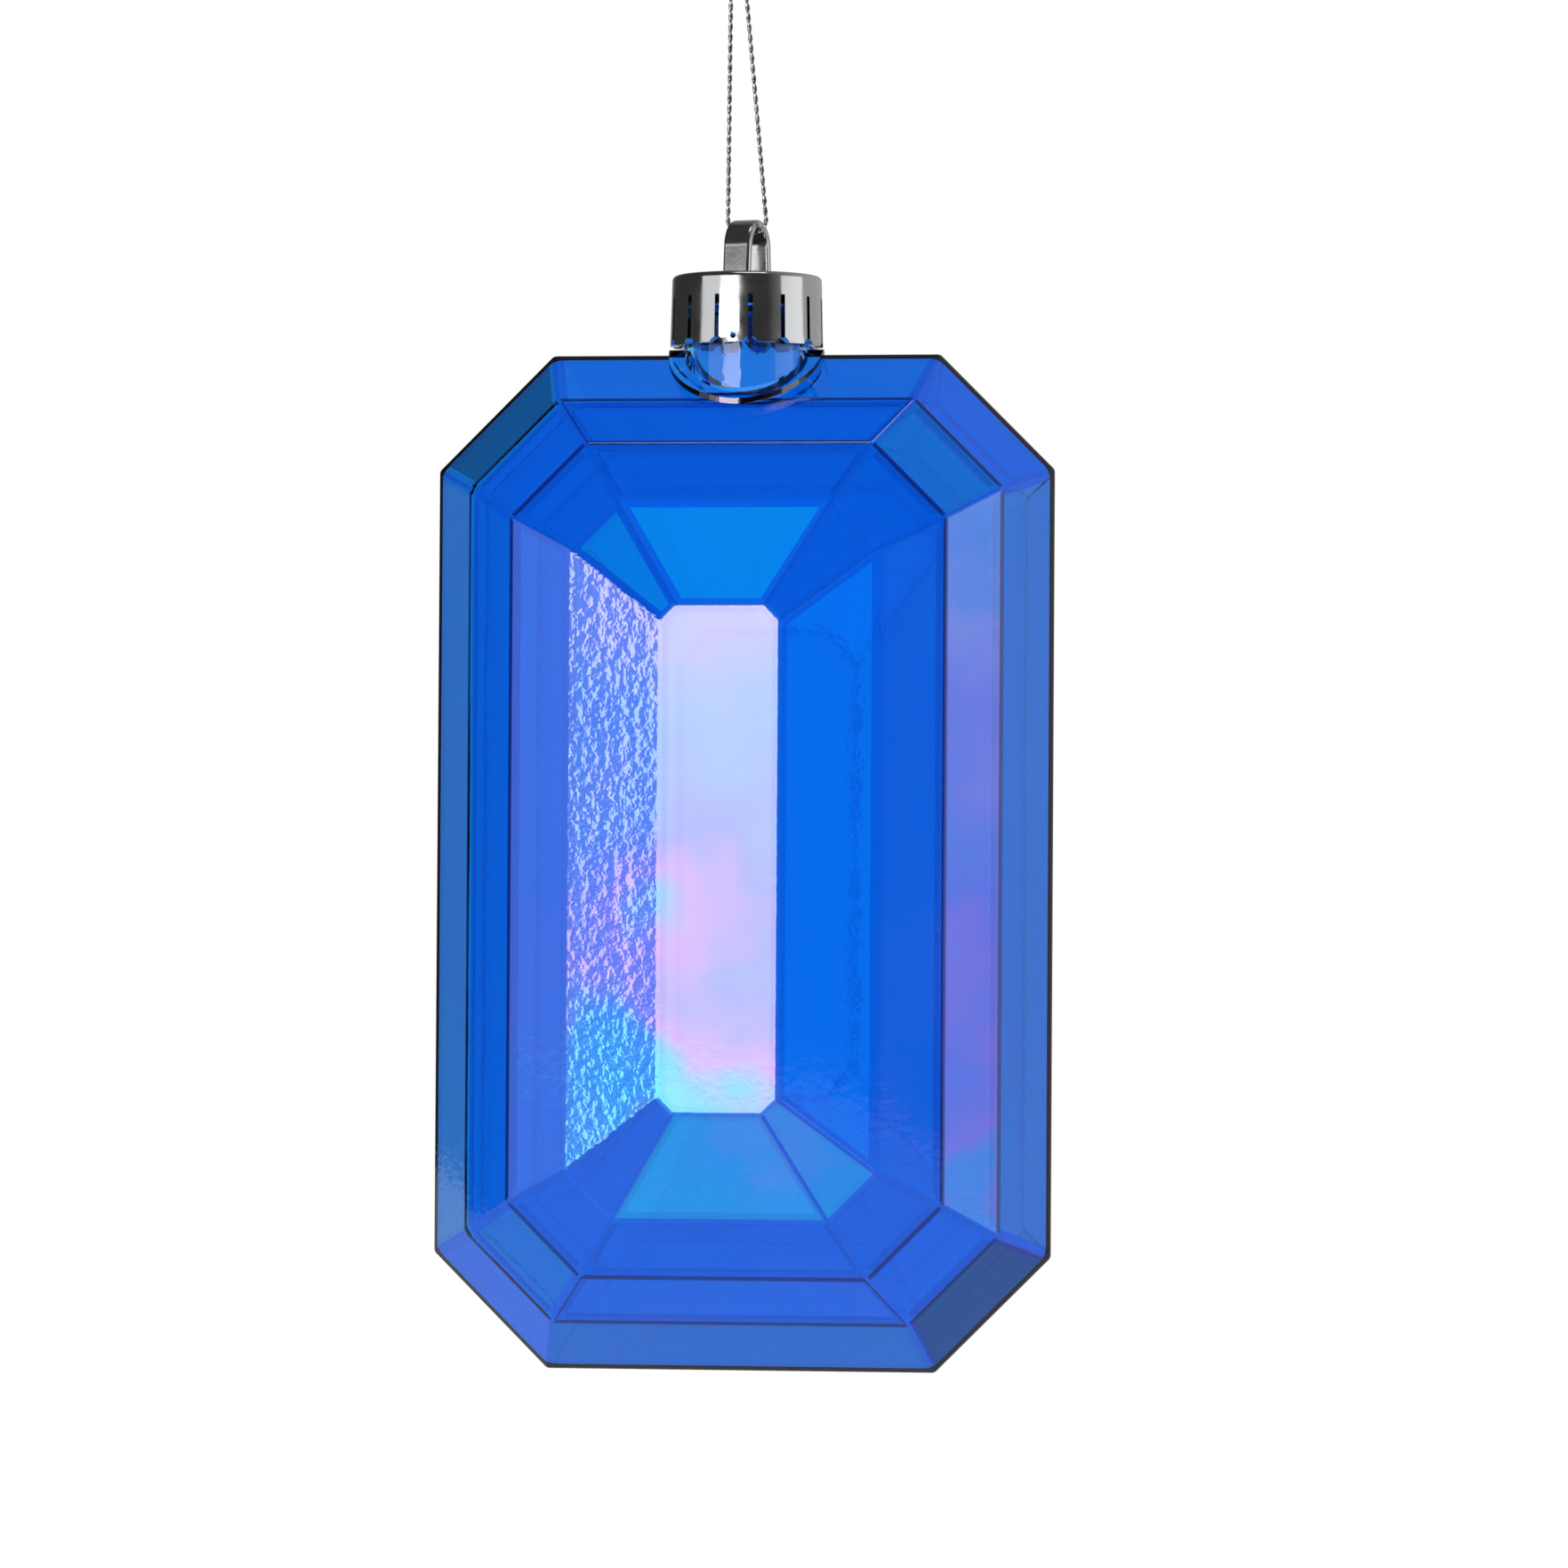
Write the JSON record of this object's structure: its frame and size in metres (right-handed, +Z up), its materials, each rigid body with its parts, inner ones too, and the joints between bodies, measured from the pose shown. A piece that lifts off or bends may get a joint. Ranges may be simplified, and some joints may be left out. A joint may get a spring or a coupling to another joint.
{
  "type": "hanging ornament",
  "caption": "Hollow step-cut gem ornament in clear blue plastic with a rainbow coating, a plated snap cap with a moulded loop, and a twisted metallic hanging thread.",
  "frame": {"origin": "middle of the thread's run in the cap's loop, on the neck's axis, where the ornament hangs", "axes": "+Z up along the gem's length and the neck's axis, +Y through the gem's thickness towards its back, +X across its width"},
  "size_m": [0.1028, 0.0566, 0.2577],
  "materials": {
    "gem_plastic": "clear deep blue with an iridescent coating",
    "cap_plating": "vacuum-plated gunmetal silver",
    "metallic_thread": "twisted silver metallic yarn"
  },
  "bodies": {
    "hanging_thread": {"thread": "metallic_thread", "thread_knot": "metallic_thread"},
    "cap": {"hanger_cap": "cap_plating"},
    "gem": {"front_shell": "gem_plastic", "back_shell": "gem_plastic"}
  },
  "joints": [
    {"name": "loop_swing", "type": "hinge", "parent": "hanging_thread", "child": "cap", "pos_m": [0, 0, 0], "axis": [0.9659, -0.2588, 0], "range_deg": [-60, 60]},
    {"name": "cap_turn", "type": "hinge", "parent": "cap", "child": "gem", "pos_m": [0, 0, -0.013], "axis": [0, 0, 1], "continuous": true}
  ]
}
